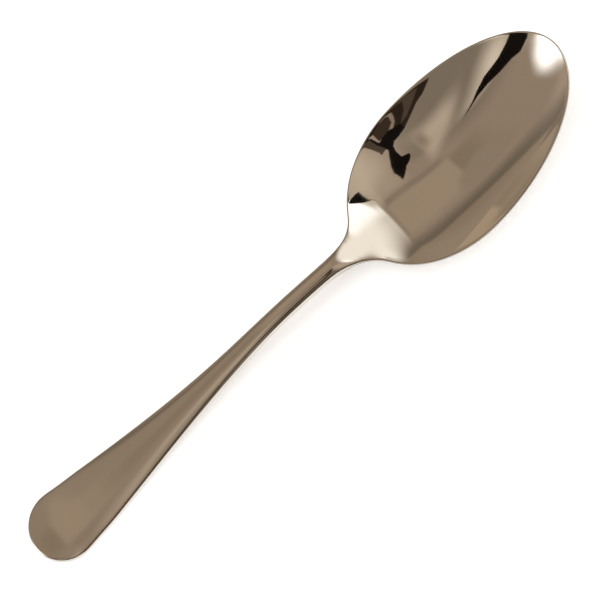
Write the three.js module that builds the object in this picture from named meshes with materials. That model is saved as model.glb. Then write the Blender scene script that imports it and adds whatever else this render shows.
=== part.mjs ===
// A one-piece tablespoon, pressed and forged from one stainless steel blank.
// It lies on a table, on the back of its handle's end and on the underside of its bowl.
// Millimetres. +X runs to the bowl's tip, +Z is up, and the origin is on the table under the middle.

import * as THREE from "three";
import { mergeVertices } from "three/addons/utils/BufferGeometryUtils.js";

// Stretches along the spoon, in order from the end of the handle
const END_ROUND = 11;
const TAPER_RUN = 14.2;
const STEM_RUN = 88.5;
const FLARE_RUN = 13.6;
const BOWL_REAR = 30.9;
const BOWL_FRONT = 46.7;

// Plan view: widths, the handle's taper, the neck's flare, and the shoulder that turns on to the bowl
const HANDLE_WIDTH = 22.8;
const TAPER_WIDTH = 19.5;
const TAPER_SLOPE = 0.144;
const NECK_WIDTH = 5.97;
const FLARE_WIDTH = 9.7;
const FLARE_SLOPE = 0.45;
const SHOULDER_RADIUS = 13;
const SHOULDER_TURN_DEGREES = 57.9;
const FLANK_RADIUS = 39;
const BOWL_WIDTH = 50.8;

// Side view: the flat rest behind the handle's end, the stem's climb to the arch at the neck,
// the fall to the bowl's heel, and the rim's climb to the tip
const REST_LENGTH = 13;
const LIFT_RADIUS = 120;
const CLIMB_RUN = 30.5;
const CLIMB_DROP = 2.07;
const CLIMB_SLOPE = 0.147;
const ARCH_HEIGHT = 10.1;
const NECK_FALL = 0.015;
const HEEL_RUN = 26;
const HEEL_HEIGHT = 7.5;
const HEEL_SLOPE = 0.1;
const RIM_CLIMB = 14.2;
const TIP_SLOPE = 0.28;

// Thicknesses of the edge and of the bowl
const HANDLE_EDGE = 1.7;
const NECK_EDGE = 3.6;
const RIM_EDGE = 1.5;
const BOWL_THICKNESS = 1.6;
const THICK_RUN = 4.5;
const THIN_OUT_RUN = 12.5;

// Swell of the front and back faces
const HANDLE_CROWN = 1.2;
const NECK_CROWN = 0.45;
const NECK_BELLY = 0.25;
const WALL_STEEPNESS = 0.05;

// The hollow along the bowl's middle: a ramp down from the neck, a crease, the floor, and the rise to the tip
const RAMP_LEAD = 11.8;
const RAMP_LEAD_DROP = 2.4;
const RAMP_RUN = 15;
const RAMP_EASE = 0.15;
const CREASE_RUN = 3.5;
const FLOOR_SLOPE = 0.11;
const FLOOR_FALL = 1.43;
const FLOOR_LEAD = 5.2;
const FLOOR_RADIUS = 45;
const HOLLOW_TIP_SLOPE = 0.68;

// How far each edge is rounded over
const HANDLE_ROUND = 0.9;
const NECK_ROUND = 1.1;
const RIM_ROUND = 0.6;
const EDGE_PULL = 0.55;

// Polished stainless steel
const STEEL_COLOUR = 0xe2ddd6;
const STEEL_ROUGHNESS = 0.16;

// How finely the surface is divided
const END_STEPS = 9;
const STEM_STEPS = 28;
const SHOULDER_STEPS = 10;
const REAR_STEPS = 16;
const FRONT_STEPS = 16;
const ACROSS_STEPS = 14;
const EDGE_STEPS = 3;

// Stations along the spoon, measured from the end of the handle
const turn = THREE.MathUtils.degToRad(SHOULDER_TURN_DEGREES);
const flareTurn = Math.atan(FLARE_SLOPE);
const taperAt = END_ROUND + TAPER_RUN;
const neckAt = taperAt + STEM_RUN;
const shoulderAt = neckAt + FLARE_RUN;
const flankAt = shoulderAt + SHOULDER_RADIUS * (Math.sin(turn) - Math.sin(flareTurn));
const widestAt = flankAt + BOWL_REAR;
const floorAt = widestAt - FLOOR_LEAD;
const tipAt = widestAt + BOWL_FRONT;
const thinAt = neckAt + THICK_RUN + THIN_OUT_RUN;

// A fifth-degree curve between two knots that meets the value, slope and bend of both
function blend(x, from, to) {
  const run = to.at - from.at;
  const t = THREE.MathUtils.clamp((x - from.at) / run, 0, 1);
  const t3 = t ** 3;
  const t4 = t ** 4;
  const t5 = t ** 5;
  const share = 10 * t3 - 15 * t4 + 6 * t5;
  const slopeFrom = t - 6 * t3 + 8 * t4 - 3 * t5;
  const slopeTo = -4 * t3 + 7 * t4 - 3 * t5;
  const bendFrom = (t ** 2 - 3 * t3 + 3 * t4 - t5) / 2;
  const bendTo = (t3 - 2 * t4 + t5) / 2;
  const level = from.value * (1 - share) + to.value * share;
  const slopes = run * (from.slope * slopeFrom + to.slope * slopeTo);
  const bends = run ** 2 * (from.bend * bendFrom + to.bend * bendTo);
  return level + slopes + bends;
}

function knot(at, value, slope = 0, bend = 0) {
  return { at, value, slope, bend };
}

// The smooth line through a row of knots, held level before the first and after the last
function lineThrough(knots) {
  return (x) => {
    const last = knots.length - 1;
    const next = knots.findIndex((each) => each.at > x);
    if (next === 0) return knots[0].value;
    if (next < 0) return knots[last].value;
    return blend(x, knots[next - 1], knots[next]);
  };
}

// Half the width along the handle with the neck's flare, and along the rear of the bowl
const neckHalf = NECK_WIDTH / 2;
const bowlHalf = BOWL_WIDTH / 2;
const handleHalf = HANDLE_WIDTH / 2;
const flankSlope = Math.tan(turn);
const flareHalf = FLARE_WIDTH / 2;
const flankHalf = flareHalf + SHOULDER_RADIUS * (Math.cos(flareTurn) - Math.cos(turn));
const handlePlan = lineThrough([
  knot(END_ROUND, handleHalf, 0, -handleHalf / END_ROUND ** 2),
  knot(taperAt, TAPER_WIDTH / 2, -TAPER_SLOPE),
  knot(neckAt, neckHalf),
  knot(shoulderAt, flareHalf, FLARE_SLOPE, (1 + FLARE_SLOPE ** 2) ** 1.5 / SHOULDER_RADIUS),
]);
const rearPlan = lineThrough([
  knot(flankAt, flankHalf, flankSlope, -((1 + flankSlope ** 2) ** 1.5) / FLANK_RADIUS),
  knot(widestAt, bowlHalf, 0, -bowlHalf / BOWL_FRONT ** 2),
]);

// Thickness at the edge, and how far the edge is rounded over
const edgeThickness = lineThrough([
  knot(REST_LENGTH, HANDLE_EDGE),
  knot(neckAt, NECK_EDGE),
  knot(neckAt + THICK_RUN, NECK_EDGE),
  knot(thinAt, RIM_EDGE),
]);
const edgeRound = lineThrough([
  knot(REST_LENGTH, HANDLE_ROUND),
  knot(neckAt, NECK_ROUND),
  knot(neckAt + THICK_RUN, NECK_ROUND),
  knot(thinAt, RIM_ROUND),
]);

// Height of the middle of the edge all along the spoon
const heelAt = neckAt + HEEL_RUN;
const rimBend = (TIP_SLOPE - HEEL_SLOPE) / (tipAt - heelAt);
const edgeLine = lineThrough([
  knot(REST_LENGTH, HANDLE_EDGE / 2, 0, 1 / LIFT_RADIUS),
  knot(neckAt - CLIMB_RUN, ARCH_HEIGHT - CLIMB_DROP, CLIMB_SLOPE),
  knot(neckAt, ARCH_HEIGHT, -NECK_FALL),
  knot(heelAt, HEEL_HEIGHT, HEEL_SLOPE, rimBend),
  knot(tipAt, HEEL_HEIGHT + RIM_CLIMB, TIP_SLOPE, rimBend),
]);

// Height of the front face's middle from the neck to the tip, with the floor a thickness above the table.
// The ramp and the crease share the drop from the neck to the floor, so the ramp's mean slope follows from it.
// The ramp eases toward its foot by a small part of that slope.
const neckTop = ARCH_HEIGHT + NECK_EDGE / 2 + NECK_CROWN;
const rampAt = neckAt + RAMP_LEAD;
const rampHeight = neckTop - RAMP_LEAD_DROP;
const footAt = rampAt + RAMP_RUN;
const creaseHeight = BOWL_THICKNESS + FLOOR_FALL;
const rampSlope = (rampHeight - creaseHeight - (CREASE_RUN * FLOOR_SLOPE) / 2) / (RAMP_RUN + CREASE_RUN / 2);
const rampBend = RAMP_EASE / RAMP_RUN;
const hollowLine = lineThrough([
  knot(neckAt, neckTop, -NECK_FALL),
  knot(rampAt, rampHeight, -rampSlope - RAMP_EASE / 2, rampBend),
  knot(footAt, rampHeight - rampSlope * RAMP_RUN, -rampSlope + RAMP_EASE / 2, rampBend),
  knot(footAt + CREASE_RUN, creaseHeight, -FLOOR_SLOPE),
  knot(floorAt, BOWL_THICKNESS, 0, 1 / FLOOR_RADIUS),
  knot(tipAt, HEEL_HEIGHT + RIM_CLIMB + RIM_EDGE / 2, HOLLOW_TIP_SLOPE),
]);

// Rise of the front face's middle over its edges: a crown on the handle, the hollow in the bowl
const crownLine = lineThrough([
  knot(END_ROUND, HANDLE_CROWN, 0, -2 * HANDLE_CROWN / END_ROUND ** 2),
  knot(taperAt, HANDLE_CROWN),
  knot(neckAt, NECK_CROWN),
]);
function frontRise(x) {
  if (x < END_ROUND) return HANDLE_CROWN * (1 - (1 - x / END_ROUND) ** 2);
  if (x < neckAt) return crownLine(x);
  return hollowLine(x) - edgeLine(x) - edgeThickness(x) / 2;
}

// Drop of the back face's middle below its edges: none on the handle, the bowl's belly at the other end
const stemBelly = lineThrough([knot(REST_LENGTH, 0), knot(neckAt, NECK_BELLY)]);
const middleThickness = lineThrough([
  knot(neckAt, NECK_EDGE + NECK_CROWN + NECK_BELLY),
  knot(thinAt, BOWL_THICKNESS),
  knot(floorAt, BOWL_THICKNESS),
  knot(tipAt, RIM_EDGE),
]);
function backDrop(x) {
  if (x < neckAt) return stemBelly(x);
  return middleThickness(x) - edgeThickness(x) - frontRise(x);
}

// Outline of one side in plan, from the end of the handle to the tip
function outline() {
  const points = [];
  const add = (x, half) => points.push(new THREE.Vector2(x, half));
  for (let i = 0; i < END_STEPS; i += 1) {
    const angle = (Math.PI / 2) * (i / END_STEPS);
    add(END_ROUND * (1 - Math.cos(angle)), handleHalf * Math.sin(angle));
  }
  for (let i = 0; i < STEM_STEPS; i += 1) {
    const x = THREE.MathUtils.lerp(END_ROUND, shoulderAt, i / STEM_STEPS);
    add(x, handlePlan(x));
  }
  for (let i = 0; i < SHOULDER_STEPS; i += 1) {
    const angle = THREE.MathUtils.lerp(flareTurn, turn, i / SHOULDER_STEPS);
    const half = flareHalf + SHOULDER_RADIUS * (Math.cos(flareTurn) - Math.cos(angle));
    add(shoulderAt + SHOULDER_RADIUS * (Math.sin(angle) - Math.sin(flareTurn)), half);
  }
  for (let i = 0; i < REAR_STEPS; i += 1) {
    const x = THREE.MathUtils.lerp(flankAt, widestAt, i / REAR_STEPS);
    add(x, rearPlan(x));
  }
  for (let i = 0; i < FRONT_STEPS; i += 1) {
    const angle = (Math.PI / 2) * (i / FRONT_STEPS);
    add(widestAt + BOWL_FRONT * Math.sin(angle), bowlHalf * Math.cos(angle));
  }
  add(tipAt, 0);
  return points;
}

// Outward direction of the outline at each point, square to the line between its neighbours
function outwardDirections(points) {
  const mirrored = (point) => new THREE.Vector2(point.x, -point.y);
  const last = points.length - 1;
  return points.map((point, i) => {
    const before = i > 0 ? points[i - 1] : mirrored(points[1]);
    const after = i < last ? points[i + 1] : mirrored(points[last - 1]);
    return new THREE.Vector2(before.y - after.y, after.x - before.x).normalize();
  });
}

// Share of the way from a face's middle to its edge height, across the face from -1 to 1
function acrossShare(u) {
  return (1 - WALL_STEEPNESS) * u ** 2 + WALL_STEEPNESS * u ** 4;
}

// Slope at which a face that rises by the given height in its middle runs out over its edge
function edgeSlope(rise, half, outward, alongSlope) {
  const steepest = 2 + 2 * WALL_STEEPNESS;
  return outward.x * alongSlope - (rise * steepest) / (half * outward.y);
}

// Half of the rounded edge, from a face to the edge's outermost line, as steps out and heights
function edgeCurve(round, faceHeight, faceSlope, outerHeight) {
  return new THREE.CubicBezierCurve(
    new THREE.Vector2(0, faceHeight),
    new THREE.Vector2(EDGE_PULL * round, faceHeight + EDGE_PULL * round * faceSlope),
    new THREE.Vector2(round, outerHeight + EDGE_PULL * (faceHeight - outerHeight)),
    new THREE.Vector2(round, outerHeight),
  );
}

// One closed loop round the spoon: front face, one edge, back face, other edge
function loopAt(point, outward, slopes) {
  const round = edgeRound(point.x);
  const middle = edgeLine(point.x);
  const front = middle + edgeThickness(point.x) / 2;
  const back = middle - edgeThickness(point.x) / 2;
  const x = point.x - round * outward.x;
  const half = Math.max(point.y - round * outward.y, 0);
  const outer = middle + (round * (slopes.front + slopes.back)) / 4;
  const upper = edgeCurve(round, front, slopes.front, outer).getPoints(EDGE_STEPS);
  const lower = edgeCurve(round, back, slopes.back, outer).getPoints(EDGE_STEPS).reverse();
  const edge = [...upper, ...lower.slice(1)].slice(1, -1);
  const loop = [];
  for (let i = 0; i <= ACROSS_STEPS; i += 1) {
    const u = 1 - (2 * i) / ACROSS_STEPS;
    loop.push(new THREE.Vector3(x, half * u, front + frontRise(point.x) * (1 - acrossShare(u))));
  }
  for (const step of edge) {
    loop.push(new THREE.Vector3(x + step.x * outward.x, -half - step.x * outward.y, step.y));
  }
  for (let i = 0; i <= ACROSS_STEPS; i += 1) {
    const u = (2 * i) / ACROSS_STEPS - 1;
    loop.push(new THREE.Vector3(x, half * u, back - backDrop(point.x) * (1 - acrossShare(u))));
  }
  for (const step of edge.reverse()) {
    loop.push(new THREE.Vector3(x + step.x * outward.x, half + step.x * outward.y, step.y));
  }
  return loop;
}

// Slopes of both faces over the edge; each end of the spoon takes those of its neighbour
function slopesAlong(points, outwards) {
  const last = points.length - 1;
  return points.map((_, i) => {
    const j = THREE.MathUtils.clamp(i, 1, last - 1);
    const half = points[j].y - edgeRound(points[j].x) * outwards[j].y;
    const run = points[j + 1].x - points[j - 1].x;
    const along = (edgeLine(points[j + 1].x) - edgeLine(points[j - 1].x)) / run;
    return {
      front: edgeSlope(frontRise(points[j].x), half, outwards[j], along),
      back: edgeSlope(-backDrop(points[j].x), half, outwards[j], along),
    };
  });
}

// Skin over all the loops, closed at both ends where the loops draw together
function skin(loops) {
  const size = loops[0].length;
  const corners = [];
  for (let i = 0; i < loops.length - 1; i += 1) {
    for (let j = 0; j < size; j += 1) {
      const k = (j + 1) % size;
      const here = i * size;
      const next = here + size;
      corners.push(here + j, here + k, next + j);
      corners.push(here + k, next + k, next + j);
    }
  }
  const open = new THREE.BufferGeometry().setFromPoints(loops.flat());
  open.setIndex(corners);
  const welded = mergeVertices(open, 1e-5);
  const joined = Array.from(welded.index.array);
  const kept = [];
  for (let i = 0; i < joined.length; i += 3) {
    const [a, b, c] = joined.slice(i, i + 3);
    if (a !== b && b !== c && c !== a) kept.push(a, b, c);
  }
  welded.setIndex(kept);
  welded.translate(-tipAt / 2, 0, 0);
  welded.computeVertexNormals();
  return welded;
}

const points = outline();
const outwards = outwardDirections(points);
const slopes = slopesAlong(points, outwards);
const steel = new THREE.MeshStandardMaterial({ color: STEEL_COLOUR, roughness: STEEL_ROUGHNESS, metalness: 1 });
const spoon = new THREE.Mesh(skin(points.map((point, i) => loopAt(point, outwards[i], slopes[i]))), steel);
spoon.name = "spoon";

const tablespoon = new THREE.Group();
tablespoon.name = "tablespoon";
tablespoon.add(spoon);

export default tablespoon;
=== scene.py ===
"""A one-piece tablespoon in buffed stainless steel, lying on a white table in soft studio light.

The spoon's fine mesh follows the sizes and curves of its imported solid, and stands in for it.
"""

import logging
import math
from dataclasses import dataclass
from enum import Enum
from functools import cached_property
from typing import Any

import bmesh
import bpy
import numpy as np
from mathutils import Matrix, Vector

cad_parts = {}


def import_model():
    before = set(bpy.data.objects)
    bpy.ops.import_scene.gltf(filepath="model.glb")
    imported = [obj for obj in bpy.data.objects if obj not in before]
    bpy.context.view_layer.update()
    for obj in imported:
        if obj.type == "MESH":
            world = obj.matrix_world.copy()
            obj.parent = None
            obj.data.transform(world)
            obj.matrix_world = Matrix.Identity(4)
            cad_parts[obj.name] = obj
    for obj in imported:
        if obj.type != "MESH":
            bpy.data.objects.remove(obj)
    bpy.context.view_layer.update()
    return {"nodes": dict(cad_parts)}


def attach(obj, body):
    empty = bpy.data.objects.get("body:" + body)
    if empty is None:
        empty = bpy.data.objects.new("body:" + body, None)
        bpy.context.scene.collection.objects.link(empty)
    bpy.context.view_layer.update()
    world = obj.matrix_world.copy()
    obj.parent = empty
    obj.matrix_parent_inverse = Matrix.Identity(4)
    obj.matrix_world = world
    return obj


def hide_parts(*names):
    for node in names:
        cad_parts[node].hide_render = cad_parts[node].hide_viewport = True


LOG = logging.getLogger("tablespoon")
MM = 0.001
IMAGE_SIDE = 600
Colour = tuple[float, float, float, float]


def linear_colour(code: str) -> Colour:
    """Turns an sRGB hex colour to linear light.

    Args:
        code: A hash sign and six hex digits.

    Returns:
        Linear red, green and blue, and an alpha of 1.
    """
    channels = [int(code[i : i + 2], 16) / 255 for i in (1, 3, 5)]
    red, green, blue = (c / 12.92 if c <= 0.04045 else ((c + 0.055) / 1.055) ** 2.4 for c in channels)
    return red, green, blue, 1.0


def add_node(
    tree: bpy.types.NodeTree,
    kind: str,
    inputs: dict[Any, Any] | None = None,
    **settings: Any,
) -> bpy.types.Node:
    """Adds one node to a tree, sets it up and links it.

    Args:
        tree: The node tree that takes the node.
        kind: The node's type name.
        inputs: For each input, by name or number, a plain value or the output that feeds it.
        **settings: The node's own properties.

    Returns:
        The new node.
    """
    node = tree.nodes.new(kind)
    for name, value in settings.items():
        setattr(node, name, value)
    for key, value in (inputs or {}).items():
        if isinstance(value, bpy.types.NodeSocket):
            tree.links.new(value, node.inputs[key])
        else:
            node.inputs[key].default_value = value
    return node


def new_tree(owner: bpy.types.ID) -> bpy.types.NodeTree:
    """Switches a material or world to nodes and empties its tree.

    Args:
        owner: The material or world.

    Returns:
        The emptied tree.
    """
    owner.use_nodes = True
    owner.node_tree.nodes.clear()
    return owner.node_tree


def link_object(name: str, data: bpy.types.ID) -> bpy.types.Object:
    """Makes an object and adds it to the scene.

    Args:
        name: The object's name.
        data: Its mesh, lamp or camera.

    Returns:
        The new object.
    """
    made = bpy.data.objects.new(name, data)
    bpy.context.scene.collection.objects.link(made)
    return made


def smooth_step(value: np.ndarray, low: float, high: float) -> np.ndarray:
    """Rises smoothly from 0 at low to 1 at high."""
    t = np.clip((value - low) / (high - low), 0, 1)
    return t * t * (3 - 2 * t)


def sky_direction(azimuth: float, elevation: float) -> Vector:
    """Unit vector to a place round the spoon.

    Args:
        azimuth: Degrees round from +X towards +Y.
        elevation: Degrees above the table.

    Returns:
        The direction in the spoon's frame.
    """
    around = math.radians(azimuth)
    above = math.radians(elevation)
    return Vector((math.cos(above) * math.cos(around), math.cos(above) * math.sin(around), math.sin(above)))


class Face(Enum):
    """A broad face of the spoon, by the way it looks."""

    FRONT = 1
    BACK = -1


@dataclass(frozen=True)
class Knot:
    """A point that a smooth line passes through, with its slope and bend there."""

    at: float
    value: float
    slope: float = 0.0
    bend: float = 0.0


@dataclass(frozen=True)
class SmoothLine:
    """A line of fifth-degree stretches through its knots, held level before the first and after the last."""

    knots: tuple[Knot, ...]

    def at(self, x: np.ndarray) -> np.ndarray:
        """Values of the line.

        Args:
            x: Places along the line.

        Returns:
            One value for each place.
        """
        values = np.full(x.shape, self.knots[0].value)
        for start, end in zip(self.knots[:-1], self.knots[1:]):
            beyond = x >= start.at
            values[beyond] = self.stretch(x[beyond], start, end)
        return values

    @staticmethod
    def stretch(x: np.ndarray, start: Knot, end: Knot) -> np.ndarray:
        """Values between two knots, meeting the value, slope and bend of both.

        Args:
            x: Places along the line, clamped to the two knots.
            start: The knot before.
            end: The knot after.

        Returns:
            One value for each place.
        """
        run = end.at - start.at
        t = np.clip((x - start.at) / run, 0, 1)
        share = 10 * t**3 - 15 * t**4 + 6 * t**5
        slope_start = t - 6 * t**3 + 8 * t**4 - 3 * t**5
        slope_end = -4 * t**3 + 7 * t**4 - 3 * t**5
        bend_start = (t**2 - 3 * t**3 + 3 * t**4 - t**5) / 2
        bend_end = (t**3 - 2 * t**4 + t**5) / 2
        level = start.value * (1 - share) + end.value * share
        slopes = run * (start.slope * slope_start + end.slope * slope_end)
        bends = run**2 * (start.bend * bend_start + end.bend * bend_end)
        return level + slopes + bends


@dataclass(frozen=True)
class SpoonShape:
    """The spoon's sizes, in millimetres from the end of its handle, and the curves that they drive."""

    # Stretches along the spoon
    end_round: float = 11.0
    taper_run: float = 14.2
    stem_run: float = 88.5
    flare_run: float = 13.6
    bowl_rear: float = 30.9
    bowl_front: float = 46.7

    # Plan view
    handle_width: float = 22.8
    taper_width: float = 19.5
    taper_slope: float = 0.144
    neck_width: float = 5.97
    flare_width: float = 9.7
    flare_slope: float = 0.45
    shoulder_radius: float = 13.0
    shoulder_turn_degrees: float = 57.9
    flank_radius: float = 39.0
    bowl_width: float = 50.8

    # Side view
    rest_length: float = 13.0
    lift_radius: float = 120.0
    climb_run: float = 30.5
    climb_drop: float = 2.07
    climb_slope: float = 0.147
    arch_height: float = 10.1
    neck_fall: float = 0.015
    heel_run: float = 26.0
    heel_height: float = 7.5
    heel_slope: float = 0.1
    rim_climb: float = 14.2
    tip_slope: float = 0.28

    # Thicknesses
    handle_edge: float = 1.7
    neck_edge: float = 3.6
    rim_edge: float = 1.5
    bowl_thickness: float = 1.6
    thick_run: float = 4.5
    thin_out_run: float = 12.5

    # Swell of the faces
    handle_crown: float = 1.2
    neck_crown: float = 0.45
    neck_belly: float = 0.25
    wall_steepness: float = 0.05

    # The hollow along the middle of the bowl: a ramp down from the neck, a crease, the floor and the tip
    ramp_lead: float = 11.8
    ramp_lead_drop: float = 2.4
    ramp_run: float = 15.0
    ramp_ease: float = 0.15
    crease_run: float = 3.5
    floor_slope: float = 0.11
    floor_fall: float = 1.43
    floor_lead: float = 5.2
    floor_radius: float = 45.0
    hollow_tip_slope: float = 0.68

    # Rounding of the edges
    handle_round: float = 0.9
    neck_round: float = 1.1
    rim_round: float = 0.6
    edge_pull: float = 0.55

    #     Rougher film and painted dark edge line on the handle's edges, as a share of those on the bowl's rim
    handle_film_and_shade: float = 0.25

    # How finely the surface is divided
    end_steps: int = 26
    stem_steps: int = 124
    shoulder_steps: int = 40
    rear_steps: int = 64
    front_steps: int = 72
    across_steps: int = 64
    edge_steps: int = 7

    @cached_property
    def turn(self) -> float:
        """Angle through which the shoulder turns, in radians."""
        return math.radians(self.shoulder_turn_degrees)

    @cached_property
    def flare_turn(self) -> float:
        """Angle at which the neck's flare meets the shoulder, in radians."""
        return math.atan(self.flare_slope)

    @cached_property
    def taper_at(self) -> float:
        """Where the handle's taper is at its steepest."""
        return self.end_round + self.taper_run

    @cached_property
    def neck_at(self) -> float:
        """Where the stem is narrowest and highest."""
        return self.taper_at + self.stem_run

    @cached_property
    def shoulder_at(self) -> float:
        """Where the neck's flare runs into the round of the shoulder."""
        return self.neck_at + self.flare_run

    @cached_property
    def flank_at(self) -> float:
        """Where the shoulder runs out into the bowl's flank."""
        return self.shoulder_at + self.shoulder_radius * (math.sin(self.turn) - math.sin(self.flare_turn))

    @cached_property
    def widest_at(self) -> float:
        """Where the bowl is widest."""
        return self.flank_at + self.bowl_rear

    @cached_property
    def floor_at(self) -> float:
        """Where the bowl is deepest."""
        return self.widest_at - self.floor_lead

    @cached_property
    def tip_at(self) -> float:
        """Where the bowl ends, which is the spoon's length."""
        return self.widest_at + self.bowl_front

    @cached_property
    def thin_at(self) -> float:
        """Where the steel has thinned out to the bowl's thickness."""
        return self.neck_at + self.thick_run + self.thin_out_run

    @cached_property
    def handle_plan(self) -> SmoothLine:
        """Half the width along the handle, the stem and the neck's flare.

        Returns:
            The line from the handle's round end to the shoulder.
        """
        half = self.handle_width / 2
        flare_bend = (1 + self.flare_slope**2) ** 1.5 / self.shoulder_radius
        return SmoothLine((
            Knot(self.end_round, half, 0, -half / self.end_round**2),
            Knot(self.taper_at, self.taper_width / 2, -self.taper_slope),
            Knot(self.neck_at, self.neck_width / 2),
            Knot(self.shoulder_at, self.flare_width / 2, self.flare_slope, flare_bend),
        ))

    @cached_property
    def rear_plan(self) -> SmoothLine:
        """Half the width along the rear of the bowl.

        Returns:
            The line from the shoulder to the widest place.
        """
        slope = math.tan(self.turn)
        shoulder_reach = self.shoulder_radius * (math.cos(self.flare_turn) - math.cos(self.turn))
        flank_half = self.flare_width / 2 + shoulder_reach
        half = self.bowl_width / 2
        return SmoothLine((
            Knot(self.flank_at, flank_half, slope, -((1 + slope**2) ** 1.5) / self.flank_radius),
            Knot(self.widest_at, half, 0, -half / self.bowl_front**2),
        ))

    @cached_property
    def edge_thickness(self) -> SmoothLine:
        """Thickness at the edge.

        Returns:
            The line all along the spoon.
        """
        return SmoothLine((
            Knot(self.rest_length, self.handle_edge),
            Knot(self.neck_at, self.neck_edge),
            Knot(self.neck_at + self.thick_run, self.neck_edge),
            Knot(self.thin_at, self.rim_edge),
        ))

    @cached_property
    def edge_round(self) -> SmoothLine:
        """How far the edge is rounded over.

        Returns:
            The line all along the spoon.
        """
        return SmoothLine((
            Knot(self.rest_length, self.handle_round),
            Knot(self.neck_at, self.neck_round),
            Knot(self.neck_at + self.thick_run, self.neck_round),
            Knot(self.thin_at, self.rim_round),
        ))

    @cached_property
    def crown_line(self) -> SmoothLine:
        """Rise of the front face's middle over its edges.

        Returns:
            The line from the handle's round end to the neck.
        """
        return SmoothLine((
            Knot(self.end_round, self.handle_crown, 0, -2 * self.handle_crown / self.end_round**2),
            Knot(self.taper_at, self.handle_crown),
            Knot(self.neck_at, self.neck_crown),
        ))

    @cached_property
    def hollow_line(self) -> SmoothLine:
        """Height of the front face's middle in the neck and the bowl.

        Returns:
            The line from the neck to the tip, with the bowl's floor one thickness over the table.
        """
        neck_top = self.arch_height + self.neck_edge / 2 + self.neck_crown
        ramp_at = self.neck_at + self.ramp_lead
        ramp_height = neck_top - self.ramp_lead_drop
        foot_at = ramp_at + self.ramp_run
        crease_height = self.bowl_thickness + self.floor_fall
        drop = ramp_height - crease_height - self.crease_run * self.floor_slope / 2
        ramp_slope = drop / (self.ramp_run + self.crease_run / 2)
        ramp_bend = self.ramp_ease / self.ramp_run
        foot_height = ramp_height - ramp_slope * self.ramp_run
        tip_height = self.heel_height + self.rim_climb + self.rim_edge / 2
        return SmoothLine((
            Knot(self.neck_at, neck_top, -self.neck_fall),
            Knot(ramp_at, ramp_height, -ramp_slope - self.ramp_ease / 2, ramp_bend),
            Knot(foot_at, foot_height, -ramp_slope + self.ramp_ease / 2, ramp_bend),
            Knot(foot_at + self.crease_run, crease_height, -self.floor_slope),
            Knot(self.floor_at, self.bowl_thickness, 0, 1 / self.floor_radius),
            Knot(self.tip_at, tip_height, self.hollow_tip_slope),
        ))

    @cached_property
    def stem_belly(self) -> SmoothLine:
        """Drop of the back face's middle along the handle and stem."""
        return SmoothLine((Knot(self.rest_length, 0), Knot(self.neck_at, self.neck_belly)))

    @cached_property
    def middle_thickness(self) -> SmoothLine:
        """Thickness in the middle of the neck and the bowl.

        Returns:
            The line from the neck to the tip.
        """
        return SmoothLine((
            Knot(self.neck_at, self.neck_edge + self.neck_crown + self.neck_belly),
            Knot(self.thin_at, self.bowl_thickness),
            Knot(self.floor_at, self.bowl_thickness),
            Knot(self.tip_at, self.rim_edge),
        ))

    @cached_property
    def edge_line(self) -> SmoothLine:
        """Height of the middle of the edge.

        Returns:
            The line all along the spoon.
        """
        heel_at = self.neck_at + self.heel_run
        rim_bend = (self.tip_slope - self.heel_slope) / (self.tip_at - heel_at)
        return SmoothLine((
            Knot(self.rest_length, self.handle_edge / 2, 0, 1 / self.lift_radius),
            Knot(self.neck_at - self.climb_run, self.arch_height - self.climb_drop, self.climb_slope),
            Knot(self.neck_at, self.arch_height, -self.neck_fall),
            Knot(heel_at, self.heel_height, self.heel_slope, rim_bend),
            Knot(self.tip_at, self.heel_height + self.rim_climb, self.tip_slope, rim_bend),
        ))

    def front_rise(self, x: np.ndarray) -> np.ndarray:
        """Rise of the front face's middle over its edges.

        Args:
            x: Places along the spoon.

        Returns:
            A crown on the handle and a hollow, below zero, in the bowl.
        """
        end_share = 1 - (1 - x / self.end_round) ** 2
        handle = np.where(x < self.end_round, self.handle_crown * end_share, self.crown_line.at(x))
        hollow = self.hollow_line.at(x) - self.edge_line.at(x) - self.edge_thickness.at(x) / 2
        return np.where(x < self.neck_at, handle, hollow)

    def back_drop(self, x: np.ndarray) -> np.ndarray:
        """Drop of the back face's middle below its edges.

        Args:
            x: Places along the spoon.

        Returns:
            Almost nothing on the handle and the bowl's belly at the other end.
        """
        bowl = self.middle_thickness.at(x) - self.edge_thickness.at(x) - self.front_rise(x)
        return np.where(x < self.neck_at, self.stem_belly.at(x), bowl)

    def outline(self) -> np.ndarray:
        """Outline of one side in plan.

        Returns:
            Rows of place and half width, from the handle's end to the tip.
        """
        end_angle = np.linspace(0, math.pi / 2, self.end_steps, endpoint=False)
        stem_x = np.linspace(self.end_round, self.shoulder_at, self.stem_steps, endpoint=False)
        shoulder_angle = np.linspace(self.flare_turn, self.turn, self.shoulder_steps, endpoint=False)
        rear_x = np.linspace(self.flank_at, self.widest_at, self.rear_steps, endpoint=False)
        front_angle = np.linspace(0, math.pi / 2, self.front_steps + 1)
        shoulder_along = np.sin(shoulder_angle) - math.sin(self.flare_turn)
        shoulder_out = math.cos(self.flare_turn) - np.cos(shoulder_angle)
        stretches = (
            (self.end_round * (1 - np.cos(end_angle)), self.handle_width / 2 * np.sin(end_angle)),
            (stem_x, self.handle_plan.at(stem_x)),
            (
                self.shoulder_at + self.shoulder_radius * shoulder_along,
                self.flare_width / 2 + self.shoulder_radius * shoulder_out,
            ),
            (rear_x, self.rear_plan.at(rear_x)),
            (
                self.widest_at + self.bowl_front * np.sin(front_angle),
                self.bowl_width / 2 * np.cos(front_angle),
            ),
        )
        points = np.concatenate([np.stack(each, axis=-1) for each in stretches])
        points[[0, -1], 1] = 0
        return points

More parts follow.
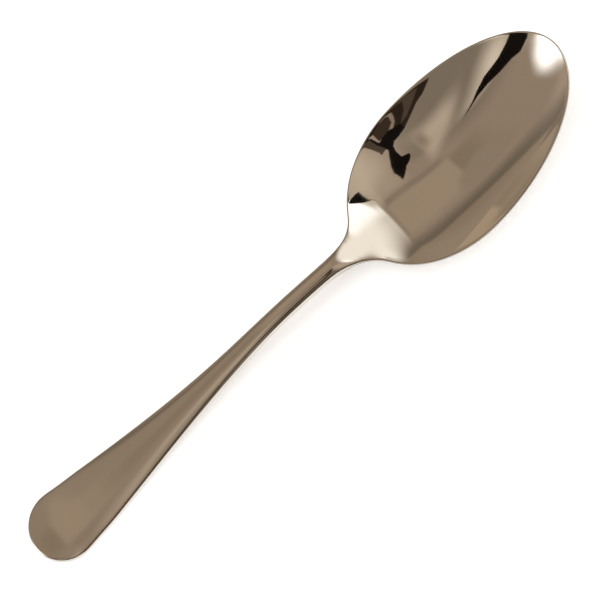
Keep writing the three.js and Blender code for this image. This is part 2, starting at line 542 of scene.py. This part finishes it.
    @staticmethod
    def outward_directions(points: np.ndarray) -> np.ndarray:
        """Outward direction of the outline at each point.

        Args:
            points: The outline of one side.

        Returns:
            Unit vectors square to the line between each point's neighbours.
        """
        mirrored = points * (1, -1)
        closed = np.concatenate([mirrored[1:2], points, mirrored[-2:-1]])
        along = closed[2:] - closed[:-2]
        square = np.stack([-along[:, 1], along[:, 0]], axis=-1)
        return square / np.linalg.norm(square, axis=-1, keepdims=True)

    def across_share(self, u: np.ndarray) -> np.ndarray:
        """Share of the way from a face's middle to its edge height, across the face from -1 to 1."""
        return (1 - self.wall_steepness) * u**2 + self.wall_steepness * u**4

    def edge_curve(
        self,
        face: np.ndarray,
        slope: np.ndarray,
        outer: np.ndarray,
        reach: np.ndarray,
    ) -> np.ndarray:
        """Half of the rounded edge, from a face to the outermost line.

        Args:
            face: Height of each loop's face at its edge.
            slope: Slope at which the face runs out.
            outer: Height of the outermost line.
            reach: How far the edge is rounded over.

        Returns:
            Steps out and heights, for each loop and each step, without the face's own point.
        """
        t = np.linspace(0, 1, self.edge_steps + 1)[1:]
        weights = ((1 - t) ** 3, 3 * (1 - t) ** 2 * t, 3 * (1 - t) * t**2, t**3)
        pull = self.edge_pull
        outs = (0 * reach, pull * reach, reach, reach)
        heights = (face, face + pull * reach * slope, outer + pull * (face - outer), outer)
        steps = [sum(np.outer(p, w) for p, w in zip(corner, weights)) for corner in (outs, heights)]
        return np.stack(steps, axis=-1)

    def loops(self) -> tuple[np.ndarray, np.ndarray, np.ndarray]:
        """Closed loops round the spoon: front face, one edge, back face, other edge.

        Returns:
            Points of every loop in millimetres from the middle of the spoon's length. For each point, the
            edge film with its painted dark edge line, from 0 on a face to 1 on the outermost line of the
            bowl's rim and less on the handle. For each point, its share of the way across from the face's
            middle.
        """
        points = self.outline()
        outward = self.outward_directions(points)
        x, outer_half = points.T
        reach = self.edge_round.at(x)
        middle = self.edge_line.at(x)
        thickness = self.edge_thickness.at(x)
        half = np.maximum(outer_half - reach * outward[:, 1], 0)
        rise = {
            Face.FRONT: np.where(half > 0, self.front_rise(x), 0),
            Face.BACK: np.where(half > 0, -self.back_drop(x), 0),
        }
        inner = np.clip(np.arange(len(x)), 1, len(x) - 2)
        along = ((np.roll(middle, -1) - np.roll(middle, 1)) / (np.roll(x, -1) - np.roll(x, 1)))[inner]
        reach_out = (half * outward[:, 1])[inner]
        steepest = 2 + 2 * self.wall_steepness
        slope = {face: outward[inner, 0] * along - rise[face][inner] * steepest / reach_out for face in Face}
        outer = middle + reach * (slope[Face.FRONT] + slope[Face.BACK]) / 4
        edge = {}
        for face in Face:
            edge[face] = self.edge_curve(middle + face.value * thickness / 2, slope[face], outer, reach)
        rim = np.concatenate([edge[Face.FRONT], edge[Face.BACK][:, -2::-1]], axis=1)
        inner_x = x - reach * outward[:, 0]
        # Rougher film and painted dark edge line: full on the bowl's rim, weaker on the handle
        film = np.interp(x, (self.neck_at, self.flank_at), (self.handle_film_and_shade, 1))[:, None]
        rows = []
        film_and_shade = []
        spread = []
        u = np.linspace(1, -1, self.across_steps + 1)
        for face, side in ((Face.FRONT, -1), (Face.BACK, 1)):
            across = u * face.value
            share = 1 - self.across_share(across)
            height = (middle + face.value * thickness / 2)[:, None] + np.outer(rise[face], share)
            places = np.repeat(inner_x[:, None], len(u), 1)
            rows.append(np.stack([places, np.outer(half, across), height], axis=-1))
            spread.append(np.repeat(np.abs(across)[None], len(x), 0))
            film_and_shade.append(np.zeros(height.shape))
            ordered = rim if face is Face.FRONT else rim[:, ::-1]
            out = ordered[..., 0]
            rows.append(np.stack([
                inner_x[:, None] + out * outward[:, :1],
                side * (half[:, None] + out * outward[:, 1:]),
                ordered[..., 1],
            ], axis=-1))
            film_and_shade.append(film * out / reach[:, None])
            spread.append(np.ones(out.shape))
        all_rows = np.concatenate(rows, axis=1)
        all_rows[..., 0] -= self.tip_at / 2
        return all_rows, np.concatenate(film_and_shade, axis=1), np.concatenate(spread, axis=1)


@dataclass(frozen=True)
class BuffedSteel:
    """Stainless steel, pressed, then buffed lengthwise on the handle and mirror polished in the bowl.

    It gives the eye a warm grey mirror: sharp pictures in the bowl, brighter on its walls than on its floor,
    soft ones on the handle, faint lengthwise lines from the buffing wheel, and a rougher film on the edges.
    The brighter walls are a painted reflection: a paler colour is painted on the bowl's walls. The thin
    darker
    line round the bowl is painted shade: a darker colour is painted on the edges.
    """

    name: str = "stainless_steel_buffed"
    floor_colour: str = "#E2DDD6"
    # Paler colour painted on the bowl's walls: a painted brighter reflection there
    painted_wall_sheen_colour: str = "#F9F6F1"
    # Darker colour painted on the edges: painted shade, a thin dark line round the rim
    painted_edge_shade_colour: str = "#A39C93"
    bowl_roughness: float = 0.02
    handle_roughness: float = 0.12
    edge_roughness: float = 0.16
    smudge_roughness: float = 0.02
    smudge_mm: float = 28.0
    smudge_detail: float = 4.0
    line_roughness: float = 0.02
    line_length_mm: float = 45.0
    # Real buffing lines lie about 0.05 mm apart; they are drawn coarser, so that they show
    line_spacing_mm: float = 0.7
    line_depth_mm: float = 0.0018
    line_detail: float = 3.0
    bowl_line_share: float = 0.1
    wave_mm: float = 17.0
    wave_depth_mm: float = 0.03
    wave_detail: float = 1.0

    def make(self) -> bpy.types.Material:
        """Builds the finish as a node material.

        Returns:
            The material.
        """
        material = bpy.data.materials.new(self.name)
        tree = new_tree(material)
        place = add_node(tree, "ShaderNodeTexCoord").outputs["Object"]
        # Share of the edge film, which is rougher and carries the painted dark edge line
        film_and_shade = add_node(tree, "ShaderNodeAttribute", attribute_name="edge_film_and_shade").outputs["Fac"]
        bowl = add_node(tree, "ShaderNodeAttribute", attribute_name="bowl_share").outputs["Fac"]
        # Share on the bowl's wall, where the painted brighter reflection goes
        wall = add_node(tree, "ShaderNodeAttribute", attribute_name="wall_sheen_share").outputs["Fac"]
        spacing = 1 / (self.line_spacing_mm * MM)
        stretched = add_node(tree, "ShaderNodeMapping", {
            "Vector": place,
            "Scale": (1 / (self.line_length_mm * MM), spacing, spacing),
        }).outputs["Vector"]
        lines = add_node(tree, "ShaderNodeTexNoise", {
            "Vector": stretched,
            "Scale": 1.0,
            "Detail": self.line_detail,
        }).outputs["Fac"]
        smudge = add_node(tree, "ShaderNodeTexNoise", {
            "Vector": place,
            "Scale": 1 / (self.smudge_mm * MM),
            "Detail": self.smudge_detail,
        }).outputs["Fac"]
        wave = add_node(tree, "ShaderNodeTexNoise", {
            "Vector": place,
            "Scale": 1 / (self.wave_mm * MM),
            "Detail": self.wave_detail,
        }).outputs["Fac"]
        polish = add_node(tree, "ShaderNodeMapRange", {
            "Value": bowl,
            "To Min": self.handle_roughness,
            "To Max": self.bowl_roughness,
        }).outputs["Result"]
        smudged = add_node(tree, "ShaderNodeMath", {
            0: smudge,
            1: self.smudge_roughness,
            2: polish,
        }, operation="MULTIPLY_ADD").outputs[0]
        lined = add_node(tree, "ShaderNodeMath", {
            0: lines,
            1: self.line_roughness,
            2: smudged,
        }, operation="MULTIPLY_ADD").outputs[0]
        rough = add_node(tree, "ShaderNodeMix", {
            "Factor": film_and_shade,
            "A": lined,
            "B": self.edge_roughness,
        }, data_type="FLOAT").outputs[0]
        # Painted brighter reflection on the bowl's walls, then painted shade on the edges
        face_tone = add_node(tree, "ShaderNodeMix", {
            "Factor": wall,
            "A": linear_colour(self.floor_colour),
            "B": linear_colour(self.painted_wall_sheen_colour),
        }, data_type="RGBA")
        tone = add_node(tree, "ShaderNodeMix", {
            "Factor": film_and_shade,
            "A": face_tone.outputs["Result"],
            "B": linear_colour(self.painted_edge_shade_colour),
        }, data_type="RGBA")
        waves = add_node(tree, "ShaderNodeBump", {
            "Height": wave,
            "Distance": self.wave_depth_mm * MM,
        }).outputs["Normal"]
        strength = add_node(tree, "ShaderNodeMapRange", {
            "Value": bowl,
            "To Min": 1.0,
            "To Max": self.bowl_line_share,
        }).outputs["Result"]
        bumps = add_node(tree, "ShaderNodeBump", {
            "Strength": strength,
            "Height": lines,
            "Distance": self.line_depth_mm * MM,
            "Normal": waves,
        }).outputs["Normal"]
        steel = add_node(tree, "ShaderNodeBsdfPrincipled", {
            "Base Color": tone.outputs["Result"],
            "Metallic": 1.0,
            "Roughness": rough,
            "Normal": bumps,
        })
        add_node(tree, "ShaderNodeOutputMaterial", {"Surface": steel.outputs["BSDF"]})
        return material


@dataclass
class Spoon:
    """The whole spoon, one piece from the handle's end to the bowl's tip."""

    shape: SpoonShape
    steel: BuffedSteel
    name: str = "steel_spoon"
    solid: str = "spoon"
    body: str = "root"
    slot: str = "polished_steel"
    weld_mm: float = 0.0002
    #     Where the painted brighter reflection on the bowl's wall starts and is full, as shares of the way
    #     across the bowl
    sheen_start: float = 0.45
    sheen_full: float = 0.8
    sheen_lead_mm: float = 16.0

    def build(self) -> bpy.types.Object:
        """Makes the fine mesh, and marks its edge film with the painted dark edge line, its share in the bowl
        and its share on the bowl's wall, where the brighter reflection is painted.

        Returns:
            The spoon, in metres in the frame of its solid.
        """
        loops, film_and_shade, spread = self.shape.loops()
        count, size = loops.shape[:2]
        index = np.arange(count * size).reshape(count, size)
        here = index[:-1]
        ahead = index[1:]
        quads = np.stack([here, np.roll(here, -1, axis=1), np.roll(ahead, -1, axis=1), ahead], axis=-1)
        mesh = bpy.data.meshes.new(self.name)
        mesh.from_pydata((loops.reshape(-1, 3) * MM).tolist(), [], quads.reshape(-1, 4).tolist())
        along = loops[..., 0].ravel() + self.shape.tip_at / 2
        bowl = smooth_step(along, self.shape.neck_at, self.shape.flank_at)
        # Mask for the painted brighter reflection: on the bowl's walls, past where the steel has thinned
        deep = smooth_step(along, self.shape.thin_at, self.shape.thin_at + self.sheen_lead_mm)
        wall = deep * smooth_step(spread.ravel(), self.sheen_start, self.sheen_full)
        for label, values in (("edge_film_and_shade", film_and_shade.ravel()), ("bowl_share", bowl), ("wall_sheen_share", wall)):
            mesh.attributes.new(label, "FLOAT", "POINT").data.foreach_set("value", values.astype(np.float32))
        self.weld(mesh)
        mesh.shade_smooth()
        return link_object(self.name, mesh)

    def weld(self, mesh: bpy.types.Mesh) -> None:
        """Closes both ends of the mesh, where its loops draw together.

        Args:
            mesh: The mesh to close in place.
        """
        work = bmesh.new()
        work.from_mesh(mesh)
        bmesh.ops.remove_doubles(work, verts=work.verts, dist=self.weld_mm * MM)
        bmesh.ops.dissolve_degenerate(work, edges=work.edges, dist=self.weld_mm * MM)
        bmesh.ops.recalc_face_normals(work, faces=work.faces)
        open_edges = sum(1 for edge in work.edges if len(edge.link_faces) != 2)
        LOG.info("%s: %d faces, %d open edges", self.name, len(work.faces), open_edges)
        work.to_mesh(mesh)
        work.free()

    def dress(self, piece: bpy.types.Object) -> None:
        """Finishes the spoon and sets it in place of its solid.

        Args:
            piece: The spoon's mesh.
        """
        piece.data.materials.append(self.steel.make())
        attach(piece, self.body)
        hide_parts(self.solid)


@dataclass(frozen=True)
class WhitePaper:
    """Matt white paper on a lit table, which gives the eye a plain white ground with a faint soft shadow.

    The steel shows the paper white only near the spoon. Farther off it shows a painted reflection of a brown
    table: to the steel's rays alone, the paper glows brown.
    """

    name: str = "paper_matt_white"
    colour: str = "#EFF1F4"
    fibre_colour: str = "#ECEEF1"
    fibre_mm: float = 1.5
    glow_colour: str = "#FFFFFF"
    glow: float = 0.42
    painted_table_reflection_colour: str = "#7E6F5F"
    #     How far from the steel the paper starts to turn to the painted brown reflection in it, and where it
    #     has turned, in metres
    end_start: float = 0.06
    end_full: float = 0.16

    def make(self) -> bpy.types.Material:
        """Builds the finish as a node material, with a glow that only the eye and the steel see.

        Returns:
            The material.
        """
        material = bpy.data.materials.new(self.name)
        tree = new_tree(material)
        place = add_node(tree, "ShaderNodeTexCoord").outputs["Object"]
        fibre = add_node(tree, "ShaderNodeTexNoise", {
            "Vector": place,
            "Scale": 1 / (self.fibre_mm * MM),
        }).outputs["Fac"]
        tone = add_node(tree, "ShaderNodeMix", {
            "Factor": fibre,
            "A": linear_colour(self.colour),
            "B": linear_colour(self.fibre_colour),
        }, data_type="RGBA")
        paper = add_node(tree, "ShaderNodeBsdfDiffuse", {"Color": tone.outputs["Result"]})
        path = add_node(tree, "ShaderNodeLightPath").outputs
        seen = path["Is Camera Ray"]
        for ray in ("Is Glossy Ray", "Is Transmission Ray"):
            seen = add_node(tree, "ShaderNodeMath", {0: seen, 1: path[ray]}, operation="ADD").outputs[0]
        level = add_node(tree, "ShaderNodeMath", {0: seen, 1: self.glow}, operation="MULTIPLY").outputs[0]
        lit = add_node(tree, "ShaderNodeEmission", {
            "Color": linear_colour(self.glow_colour),
            "Strength": level,
        })
        both = add_node(tree, "ShaderNodeAddShader", {0: paper.outputs["BSDF"], 1: lit.outputs["Emission"]})
        # Painted reflection: to the steel's rays, the paper farther off turns into a brown glow
        beyond = add_node(tree, "ShaderNodeMapRange", {
            "Value": path["Ray Length"],
            "From Min": self.end_start,
            "From Max": self.end_full,
            "To Max": path["Is Glossy Ray"],
        }).outputs["Result"]
        table = add_node(tree, "ShaderNodeEmission", {"Color": linear_colour(self.painted_table_reflection_colour)})
        all_seen = add_node(tree, "ShaderNodeMixShader", {
            0: beyond,
            1: both.outputs["Shader"],
            2: table.outputs["Emission"],
        })
        add_node(tree, "ShaderNodeOutputMaterial", {"Surface": all_seen.outputs["Shader"]})
        return material


@dataclass(frozen=True)
class PaintedBoard:
    """Board glowing evenly at its paint colour, standing in for a lit board, which gives the steel a plain
    crisp shape to reflect.
    """

    name: str
    colour: str

    def make(self) -> bpy.types.Material:
        """Builds the finish as a node material.

        Returns:
            The material.
        """
        material = bpy.data.materials.new(self.name)
        tree = new_tree(material)
        paint = add_node(tree, "ShaderNodeEmission", {"Color": linear_colour(self.colour)})
        add_node(tree, "ShaderNodeOutputMaterial", {"Surface": paint.outputs["Emission"]})
        return material


class Paint(Enum):
    """The paints of the studio's boards."""

    # Each paint is a glow colour, painted to stand in for how a lit board looks
    BLACK = PaintedBoard("board_black", "#14100D")
    DARK = PaintedBoard("board_dark_brown", "#2A2018")
    SHADE = PaintedBoard("board_shaded_brown", "#382C23")
    BROWN = PaintedBoard("board_brown", "#4A3D33")


@dataclass(frozen=True)
class Board:
    """A flat board, given by the directions of its corners as the bowl sees them."""

    name: str
    paint: Paint
    corners: tuple[tuple[float, float], ...]
    middle_mm: tuple[float, float, float] = (55.0, 0.0, 8.0)
    distance: float = 4.0

    def place(self, paint: bpy.types.Material) -> None:
        """Hangs the board.

        Args:
            paint: The board's finish.
        """
        mesh = bpy.data.meshes.new(self.name)
        middle = Vector(self.middle_mm) * MM
        spots = [middle + sky_direction(*corner) * self.distance for corner in self.corners]
        mesh.from_pydata(spots, [], [list(range(len(spots)))])
        mesh.materials.append(paint)
        link_object(self.name, mesh)


@dataclass(frozen=True)
class PanelSide:
    """One soft side of a panel: a plane through the spoon, by the direction that it faces.

    The panel starts to show at one angle in front of that plane and shows fully at another, in degrees.
    """

    azimuth: float
    elevation: float
    start: float
    full: float


@dataclass(frozen=True)
class SoftPanel:
    """A lighter or darker stretch of the studio's walls with soft sides."""

    name: str
    colour: str
    level: float
    sides: tuple[PanelSide, ...]


@dataclass(frozen=True)
class Surround:
    """The studio's walls and ceiling in an even warm grey, with soft panels laid over one another on them."""

    colour: str = "#9E8D7B"
    panels: tuple[SoftPanel, ...] = (
        SoftPanel("far_side", "#FFE5C8", 0.195, (
            PanelSide(225.5, 40.7, 47.1, 89.5),
        )),
        SoftPanel("tan_side", "#FFE9CE", 0.503, (
            PanelSide(0, -2, 5, 21),
            PanelSide(286, 3.5, 1, 13),
        )),
        SoftPanel("far_glow", "#FFE9CF", 0.525, (
            PanelSide(180, 0, 3, 13),
            PanelSide(307, 0, -9.5, 0.5),
            PanelSide(90, 0, -34, -20),
            PanelSide(0, 0, -40, -24),
        )),
        SoftPanel("far_crescent", "#FFE5C8", 0.305, (
            PanelSide(180, 0, 5.5, 10),
            PanelSide(0, 0, -16, -11),
            PanelSide(270, 0, 9, 20),
            PanelSide(90, 0, -34, -23),
        )),
        SoftPanel("far_lens", "#FFE6C9", 0.275, (
            PanelSide(0, 0, -9, -5.5),
            PanelSide(180, 0, -6, 2),
            PanelSide(270, 0, 7, 14),
            PanelSide(90, 0, -32, -26),
        )),
        SoftPanel("near_groove", "#FFE5C8", 0.178, (
            PanelSide(83.8, -3.9, 43, 58),
        )),
        SoftPanel("near_band", "#FFE2C2", 0.285, (
            PanelSide(83.8, -3.9, 57.5, 61),
        )),
        SoftPanel("top_shade", "#FFE3C3", 0.28, (
            PanelSide(180, 0, 10.5, 14.5),
            PanelSide(0, 0, -38, -20),
            PanelSide(90, 0, 3, 14),
            PanelSide(270, 0, -52, -40),
        )),
        SoftPanel("gold_patch", "#FFE4C4", 0.396, (
            PanelSide(0, 0, -14.5, -11),
            PanelSide(90, 0, 5, 11),
            PanelSide(180, 0, -22, -15),
            PanelSide(270, 0, -50, -38),
        )),
        SoftPanel("far_line", "#FFE5C8", 0.286, (
            PanelSide(90, 0, 1, 3.5),
            PanelSide(270, 0, -9, -5.5),
            PanelSide(0, 0, -14, -6),
            PanelSide(180, 0, -19, -15),
        )),
        SoftPanel("back_shade", "#FFE5C8", 0.323, (
            PanelSide(117.9, 44.3, 73.6, 81.4),
        )),
        SoftPanel("front_low", "#FFEDD5", 0.652, (
            PanelSide(270, 0, 55, 63),
            PanelSide(172, 0, -3, 3),
        )),
        SoftPanel("front_dark", "#FFE5C8", 0.08, (
            PanelSide(270, 0, 52, 57),
            PanelSide(350, 0, -3, 3),
            PanelSide(187, 0, -1.5, 1.5),
        )),
        SoftPanel("cream_patch", "#FFEED7", 0.702, (
            PanelSide(267.9, -9.7, -2.8, 5.2),
            PanelSide(121.8, -9, -7.3, 9.6),
            PanelSide(209.4, 49.3, 63.5, 77.1),
        )),
        SoftPanel("neck_window", "#FFF8EC", 1.13, (
            PanelSide(6, 0, 32, 43.5),
            PanelSide(75, -3.6, -1.5, 0.5),
            PanelSide(0, 90, 8, 20),
        )),
        SoftPanel("neck_hot", "#FFFDF8", 1.53, (
            PanelSide(6, 0, 35.8, 38.5),
            PanelSide(48, -25.5, -1.5, 0.5),
            PanelSide(280, 4, -9, 6),
        )),
        SoftPanel("tip_window", "#FFFEFB", 2.42, (
            PanelSide(176.3, -61, -2.6, 2.6),
            PanelSide(211.8, -44.9, -2.2, 3.2),
            PanelSide(243.2, 28.2, -10, 8),
            PanelSide(84.5, -7.1, -5, 8),
        )),
    )

    def place(self) -> None:
        """Sets the scene's world."""
        world = bpy.data.worlds.new("studio_walls")
        tree = new_tree(world)
        direction = add_node(tree, "ShaderNodeTexCoord").outputs["Generated"]
        tone: bpy.types.NodeSocket | Colour = linear_colour(self.colour)
        for panel in self.panels:
            tone = self.lay(tree, direction, tone, panel)
        walls = add_node(tree, "ShaderNodeBackground", {"Color": tone})
        add_node(tree, "ShaderNodeOutputWorld", {"Surface": walls.outputs["Background"]})
        bpy.context.scene.world = world

    @staticmethod
    def lay(
        tree: bpy.types.NodeTree,
        direction: bpy.types.NodeSocket,
        under: bpy.types.NodeSocket | Colour,
        panel: SoftPanel,
    ) -> bpy.types.NodeSocket:
        """Lays one panel over the walls.

        Args:
            tree: The world's node tree.
            direction: The direction that is looked at.
            under: The colour below the panel.
            panel: The panel.

        Returns:
            The colour with the panel.
        """
        cover: bpy.types.NodeSocket | float = 1.0
        for side in panel.sides:
            ahead = add_node(tree, "ShaderNodeVectorMath", {
                0: direction,
                1: sky_direction(side.azimuth, side.elevation),
            }, operation="DOT_PRODUCT").outputs["Value"]
            cover = add_node(tree, "ShaderNodeMapRange", {
                "Value": ahead,
                "From Min": math.sin(math.radians(side.start)),
                "From Max": math.sin(math.radians(side.full)),
                "To Max": cover,
            }, interpolation_type="SMOOTHSTEP").outputs["Result"]
        red, green, blue, alpha = linear_colour(panel.colour)
        glow = (panel.level * red, panel.level * green, panel.level * blue, alpha)
        return add_node(tree, "ShaderNodeMix", {
            "Factor": cover,
            "A": under,
            "B": glow,
        }, data_type="RGBA", label=panel.name).outputs["Result"]


@dataclass(frozen=True)
class TableLamp:
    """A broad plain lamp over the table, screened off from the steel."""

    name: str = "table_lamp"
    side: float = 2.0
    height: float = 2.2
    watts: float = 30.0

    def place(self) -> None:
        """Hangs the lamp."""
        data = bpy.data.lights.new(self.name, "AREA")
        data.size = self.side
        data.energy = self.watts
        lamp = link_object(self.name, data)
        lamp.location = (0, 0, self.height)
        lamp.visible_glossy = False


@dataclass
class Studio:
    """The white table, the boards and the walls round the spoon."""

    paper: WhitePaper
    surround: Surround
    lamp: TableLamp
    table_side: float = 8.0
    table_drop_mm: float = 0.02
    boards: tuple[Board, ...] = (
        Board("tip_streak", Paint.BLACK, (
            (180.5, 29), (177, 30.5), (175.5, 33), (179.5, 35.5), (183.5, 40), (188.5, 44.5), (191.5, 49.5),
            (191.5, 60.5), (194, 52), (196, 48), (196.5, 42.5), (192.5, 37), (192.5, 33.5), (193.5, 31.5),
            (194, 30),
        )),
        Board("band", Paint.DARK, (
            (238.5, 30), (238.5, 33), (241, 38), (244.5, 41), (248.5, 46.5), (254, 52.5), (255, 48.5),
            (250.5, 45.5), (246.5, 39.5), (243.5, 33), (243, 30.5),
        )),
        Board("front_lobe", Paint.BROWN, (
            (243, 30.5), (243.5, 33), (246.5, 39.5), (250.5, 45.5), (255, 48.5), (261.5, 49.5), (257, 45),
            (256, 41.5), (256, 36), (250.5, 32.5), (245.5, 29.5),
        ), distance=4.05),
        Board("front_shade", Paint.DARK, (
            (261.5, 49.5), (257, 45), (256, 41.5), (256, 36), (252.5, 33.5), (250.5, 35), (251, 41),
            (254.5, 48),
        )),
        Board("middle_lobe", Paint.SHADE, (
            (258.5, 41.5), (259, 44.5), (263.5, 48), (268, 49.5), (273.5, 51), (278.5, 51.5), (275.5, 43.5),
            (264, 38), (258.5, 36),
        )),
        Board("knot", Paint.BLACK, (
            (255, 48), (254, 52.5), (262, 56), (269.5, 57.5), (276, 60.5), (283.5, 60), (282.5, 57),
            (283, 53), (281, 45.5), (279.5, 45.5), (280, 52.5), (273, 50.5), (265, 48.5), (261, 48.5),
        ), distance=3.95),
        Board("side_bar", Paint.BROWN, (
            (288.5, 46.5), (288.5, 53), (289.5, 57.5), (291.5, 60), (287, 59), (281, 58.5), (281.5, 52),
            (280.5, 45), (284, 45.5),
        )),
        Board("heart", Paint.BLACK, (
            (279.5, 58), (275, 60), (280, 64.5), (283.5, 70), (275, 71), (268.5, 71.5), (270, 74),
            (282.5, 76.5), (305.5, 77), (335, 77), (352, 75.5), (332, 74), (322, 72), (308, 69),
            (293, 64.5),
        ), distance=3.9),
        Board("neck_wedge", Paint.BLACK, (
            (336.5, 52.5), (342.5, 53.5), (354, 54.5), (5.5, 62), (354.5, 54), (351.5, 50), (349, 41.5),
            (341.5, 49.5),
        )),
    )

    def build(self) -> None:
        """Lays the table, hangs the boards and sets up the walls."""
        side = self.table_side / 2
        low = -self.table_drop_mm * MM
        corners = [(-side, -side, low), (side, -side, low), (side, side, low), (-side, side, low)]
        mesh = bpy.data.meshes.new("table")
        mesh.from_pydata(corners, [], [(0, 1, 2, 3)])
        mesh.materials.append(self.paper.make())
        link_object("table", mesh)
        paints = {paint: paint.value.make() for paint in Paint}
        for board in self.boards:
            board.place(paints[board.paint])
        self.lamp.place()
        self.surround.place()


@dataclass(frozen=True)
class PhotoCamera:
    """A long lens that looks down on the spoon from its near side."""

    tilt_degrees: float = 24.4
    swing_degrees: float = -0.183
    roll_degrees: float = 41.828
    aim_x_mm: float = 1.147
    aim_y_mm: float = 3.497
    distance_mm: float = 1035.7
    pixels_per_mm: float = 3.4028
    sensor_mm: float = 36.0
    sight: float = 20.0

    def place(self) -> None:
        """Sets up the scene's camera."""
        tilt = math.radians(self.tilt_degrees)
        swing = math.radians(self.swing_degrees)
        back = Vector((math.sin(swing), -math.sin(tilt) * math.cos(swing), math.cos(tilt) * math.cos(swing)))
        level = (Vector((1, 0, 0)) - back * back.x).normalized()
        upward = back.cross(level)
        roll = math.radians(self.roll_degrees)
        right = math.cos(roll) * level - math.sin(roll) * upward
        top = math.sin(roll) * level + math.cos(roll) * upward
        aim = Vector((self.aim_x_mm, self.aim_y_mm, 0))
        spot = (aim + back * self.distance_mm) * MM
        lens = bpy.data.cameras.new("photo_camera")
        lens.sensor_width = self.sensor_mm
        lens.lens = self.sensor_mm * self.pixels_per_mm * self.distance_mm / IMAGE_SIDE
        lens.clip_end = self.sight
        camera = link_object("photo_camera", lens)
        turned = Matrix((right, top, back)).transposed().to_4x4()
        camera.matrix_world = Matrix.Translation(spot) @ turned
        bpy.context.scene.camera = camera


def main() -> None:
    """Builds the spoon and its studio."""
    logging.basicConfig(level=logging.INFO, format="%(name)s: %(message)s")
    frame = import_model()
    LOG.info("the frame holds %d node(s)", len(frame["nodes"]))
    bpy.context.scene.view_settings.view_transform = "Standard"
    PhotoCamera().place()
    spoon = Spoon(SpoonShape(), BuffedSteel())
    piece = spoon.build()
    spoon.dress(piece)
    LOG.info("built %s", piece.name)
    Studio(WhitePaper(), Surround(), TableLamp()).build()


if __name__ == "__main__":
    main()
